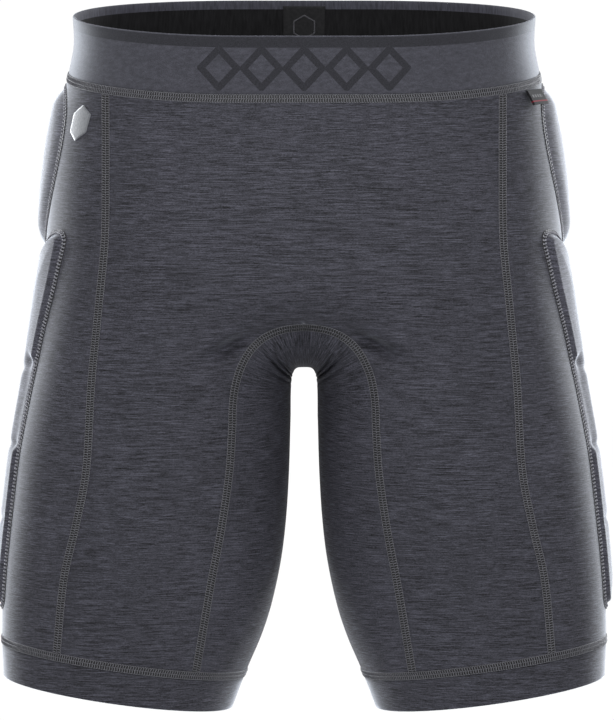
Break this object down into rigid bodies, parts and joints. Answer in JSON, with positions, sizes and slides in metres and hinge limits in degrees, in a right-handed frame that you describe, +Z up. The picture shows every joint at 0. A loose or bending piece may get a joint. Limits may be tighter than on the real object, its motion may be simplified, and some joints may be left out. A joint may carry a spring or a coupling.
{
  "type": "padded impact shorts",
  "caption": "Close-fitting knit shorts with an elastic waistband and impact pads in sewn pockets over the hips, thighs and tailbone.",
  "frame": {"origin": "middle of the waist opening, level with the waistband's top edge at the sides", "axes": "+Z up along the body, +X to the wearer's left, the front faces -Y"},
  "size_m": [0.4308, 0.2439, 0.4929],
  "materials": {
    "elastic": "brushed woven elastic, dull",
    "thread": "polyester sewing thread, slight sheen",
    "woven_patch": "woven patch, dull",
    "woven_label": "woven satin label",
    "print": "heat-transferred print, satin",
    "edging": "folded knit binding, oversewn",
    "mesh": "warp-knitted mesh, dull",
    "foam": "closed-cell foam, matte",
    "cover_cloth": "heather knit stretched over foam",
    "gusset_cloth": "heather knit, dull",
    "knit": "heather knit, slight sheen"
  },
  "bodies": {
    "shorts": {"waistband": "elastic", "waist_seam": "thread", "back_label": "woven_patch", "hip_print": "print", "front_panel": "knit", "back_panel": "knit", "side_panel_left": "knit", "side_panel_right": "knit", "gusset": "gusset_cloth", "front_seam_left": "thread", "front_seam_right": "thread", "back_seam_left": "thread", "back_seam_right": "thread", "gusset_seam_front": "thread", "gusset_seam_back": "thread", "hem_band_left": "knit", "hem_band_right": "knit", "hem_seam_left": "thread", "hem_seam_right": "thread", "hip_cover_left": "cover_cloth", "hip_cover_right": "cover_cloth", "hip_edging_left": "edging", "hip_edging_right": "edging", "hip_lining_left": "mesh", "hip_lining_right": "mesh", "thigh_cover_left": "cover_cloth", "thigh_cover_right": "cover_cloth", "thigh_edging_left": "edging", "thigh_edging_right": "edging", "thigh_lining_left": "mesh", "thigh_lining_right": "mesh", "tail_cover": "cover_cloth", "tail_edging": "edging", "tail_lining": "mesh"},
    "hip_pad_left": {"hip_pad_left": "foam"},
    "hip_pad_right": {"hip_pad_right": "foam"},
    "thigh_pad_left": {"thigh_pad_left": "foam"},
    "thigh_pad_right": {"thigh_pad_right": "foam"},
    "tail_pad": {"tail_pad": "foam"},
    "side_label": {"side_label": "woven_label"}
  },
  "joints": [
    {"name": "hip_pad_left_out", "type": "slide", "parent": "shorts", "child": "hip_pad_left", "axis": [-1, 0, 0], "range_m": [0, 0.06], "deforming": ["hip_lining_left"]},
    {"name": "hip_pad_right_out", "type": "slide", "parent": "shorts", "child": "hip_pad_right", "axis": [1, 0, 0], "range_m": [0, 0.06], "deforming": ["hip_lining_right"]},
    {"name": "thigh_pad_left_out", "type": "slide", "parent": "shorts", "child": "thigh_pad_left", "axis": [-1, 0, 0], "range_m": [0, 0.06], "deforming": ["thigh_lining_left"]},
    {"name": "thigh_pad_right_out", "type": "slide", "parent": "shorts", "child": "thigh_pad_right", "axis": [1, 0, 0], "range_m": [0, 0.06], "deforming": ["thigh_lining_right"]},
    {"name": "tail_pad_out", "type": "slide", "parent": "shorts", "child": "tail_pad", "axis": [0, -1, 0], "range_m": [0, 0.06], "deforming": ["tail_lining"]},
    {"name": "side_label_flap", "type": "hinge", "parent": "shorts", "child": "side_label", "pos_m": [0.15929, -0.03671, -0.04985], "axis": [-0.4114, -0.9115, 0], "range_deg": [-12, 70]}
  ]
}
